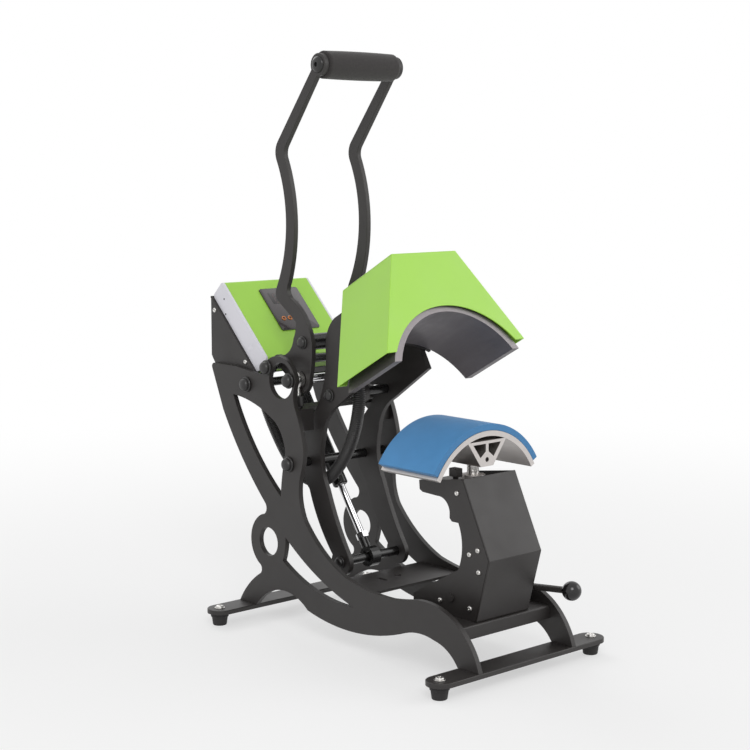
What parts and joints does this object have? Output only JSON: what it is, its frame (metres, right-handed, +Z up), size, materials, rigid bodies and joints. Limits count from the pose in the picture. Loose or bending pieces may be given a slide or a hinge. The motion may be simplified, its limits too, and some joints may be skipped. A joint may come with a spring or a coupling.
{
  "type": "cap heat press",
  "caption": "Clamshell cap heat press with curved heated head, padded curved lower platen, long handle linkage, gas spring and slanted control box.",
  "frame": {"origin": "centre of the footprint on the floor, under the rubber feet", "axes": "+Z up, -Y to the front where the caps are loaded, +X to the operator's right"},
  "size_m": [0.25, 0.4638, 0.632],
  "materials": {
    "black_steel": "satin powder coat",
    "rubber": "matte",
    "silver": "satin",
    "chrome": "polished",
    "black_plastic": "satin",
    "green_paint": "gloss powder coat",
    "white_panel": "semi-gloss",
    "display": "glossy film",
    "orange_plastic": "glossy",
    "aluminium": "mill finish",
    "blue_silicone": "matte silicone",
    "grey_platen": "dark coated",
    "foam": "foam"
  },
  "bodies": {
    "frame": {"left_side_plate": "black_steel", "right_side_plate": "black_steel", "foot_bars": "black_steel", "base_plate": "black_steel", "front_cross_plate": "black_steel", "rear_cross_plate": "black_steel", "frame_shafts": "black_steel", "pedestal_side_plates": "black_steel", "pedestal_front_cover": "black_steel", "pedestal_top_plate": "black_steel", "box_bracket": "black_steel", "lobe_bolts": "black_steel", "eye_bolts": "black_steel", "rubber_feet": "rubber", "foot_bolts": "silver", "panel_screws": "silver", "handle_shaft": "chrome", "frame_caps": "black_plastic", "power_inlet": "black_plastic", "box_gland": "black_plastic", "conduit": "black_plastic", "box_cover": "green_paint", "box_side_panels": "white_panel", "display_panel": "display"},
    "left_knob": {"left_adjuster_knob": "black_plastic"},
    "right_knob": {"right_adjuster_knob": "black_plastic"},
    "button_1": {"panel_button_1": "orange_plastic"},
    "button_2": {"panel_button_2": "orange_plastic"},
    "button_3": {"panel_button_3": "orange_plastic"},
    "button_4": {"panel_button_4": "orange_plastic"},
    "rocker": {"power_rocker": "black_plastic"},
    "platen_lift": {"lower_platen": "aluminium", "platen_stud": "silver", "silicone_pad": "blue_silicone"},
    "nut": {"pressure_nut": "silver"},
    "clamp": {"clamp_block": "black_steel"},
    "lever": {"tension_lever": "black_steel", "lever_ball": "black_plastic"},
    "head": {"left_arm": "black_steel", "right_arm": "black_steel", "arm_cross_shafts": "black_steel", "back_plate": "black_steel", "head_bracket": "black_steel", "arm_caps": "black_plastic", "head_gland": "black_plastic", "head_cover": "green_paint", "upper_platen": "grey_platen"},
    "handle": {"left_handle_bar": "black_steel", "right_handle_bar": "black_steel", "cross_tube": "black_steel", "stop_pin": "black_steel", "grip_tube": "black_steel", "grip_bolts": "black_steel", "handle_caps": "black_plastic", "foam_grip": "foam"},
    "drive": {"drive_link": "black_steel"},
    "spring_cylinder": {"gas_spring_body": "black_steel"},
    "spring_piston": {"gas_spring_rod": "chrome", "gas_spring_eye": "black_steel"}
  },
  "joints": [
    {"name": "handle_pivot", "type": "hinge", "parent": "frame", "child": "handle", "pos_m": [0, 0.08289, 0.28], "axis": [1, 0, 0], "range_deg": [0, 63.5], "stiffness_Nm_per_rad": 4, "springref_deg": -68.75},
    {"name": "arm_pivot", "type": "hinge", "parent": "frame", "child": "head", "pos_m": [0, 0.08389, 0.188], "axis": [1, 0, 0], "range_deg": [0, 29.1], "deforming": ["conduit"]},
    {"name": "drive_link_pivot", "type": "hinge", "parent": "handle", "child": "drive", "pos_m": [0, 0.07839, 0.3208], "axis": [1, 0, 0], "range_deg": [-62.6, 0]},
    {"name": "spring_tilt", "type": "hinge", "parent": "frame", "child": "spring_cylinder", "pos_m": [0, 0.15769, 0.2687], "axis": [1, 0, 0], "range_deg": [0, 15.2]},
    {"name": "spring_stroke", "type": "slide", "parent": "spring_cylinder", "child": "spring_piston", "axis": [0, 0.566, 0.8244], "range_m": [0, 0.0149]},
    {"name": "nut_turn", "type": "hinge", "parent": "frame", "child": "nut", "pos_m": [0, -0.12611, 0.194], "axis": [0, 0, 1], "range_deg": [0, 541]},
    {"name": "platen_rise", "type": "slide", "parent": "frame", "child": "platen_lift", "axis": [0, 0, 1], "range_m": [0, 0.003]},
    {"name": "lever_pivot", "type": "hinge", "parent": "frame", "child": "lever", "pos_m": [0.048, -0.13411, 0.076], "axis": [1, 0, 0], "range_deg": [0, 25]},
    {"name": "clamp_pull", "type": "slide", "parent": "frame", "child": "clamp", "axis": [0, 0, -1], "range_m": [0, 0.00601]},
    {"name": "left_knob_turn", "type": "hinge", "parent": "frame", "child": "left_knob", "pos_m": [-0.0595, 0.08289, 0.256], "axis": [0, 0, 1], "continuous": true},
    {"name": "right_knob_turn", "type": "hinge", "parent": "frame", "child": "right_knob", "pos_m": [0.0595, 0.08289, 0.256], "axis": [0, 0, 1], "continuous": true},
    {"name": "rocker_tilt", "type": "hinge", "parent": "frame", "child": "rocker", "pos_m": [-0.026, 0.20839, 0.33873], "axis": [1, 0, 0], "range_deg": [-5, 5]},
    {"name": "button_1_press", "type": "slide", "parent": "frame", "child": "button_1", "axis": [0, 0.7101, -0.7041], "range_m": [0, 0.001], "stiffness_N_per_m": 400, "springref_m": -0.001},
    {"name": "button_2_press", "type": "slide", "parent": "frame", "child": "button_2", "axis": [0, 0.7101, -0.7041], "range_m": [0, 0.001], "stiffness_N_per_m": 400, "springref_m": -0.001},
    {"name": "button_3_press", "type": "slide", "parent": "frame", "child": "button_3", "axis": [0, 0.7101, -0.7041], "range_m": [0, 0.001], "stiffness_N_per_m": 400, "springref_m": -0.001},
    {"name": "button_4_press", "type": "slide", "parent": "frame", "child": "button_4", "axis": [0, 0.7101, -0.7041], "range_m": [0, 0.001], "stiffness_N_per_m": 400, "springref_m": -0.001}
  ],
  "couplings": [
    {"joint": "arm_pivot", "follows": "handle_pivot", "ratio": 0.45669},
    {"joint": "drive_link_pivot", "follows": "handle_pivot", "ratio": -0.984},
    {"joint": "spring_tilt", "follows": "handle_pivot", "ratio": 0.2378},
    {"joint": "spring_stroke", "follows": "handle_pivot", "m_per_rad": 0.013354},
    {"joint": "nut_turn", "follows": "platen_rise", "rad_per_m": 3141.6},
    {"joint": "clamp_pull", "follows": "lever_pivot", "m_per_rad": 0.013751}
  ]
}
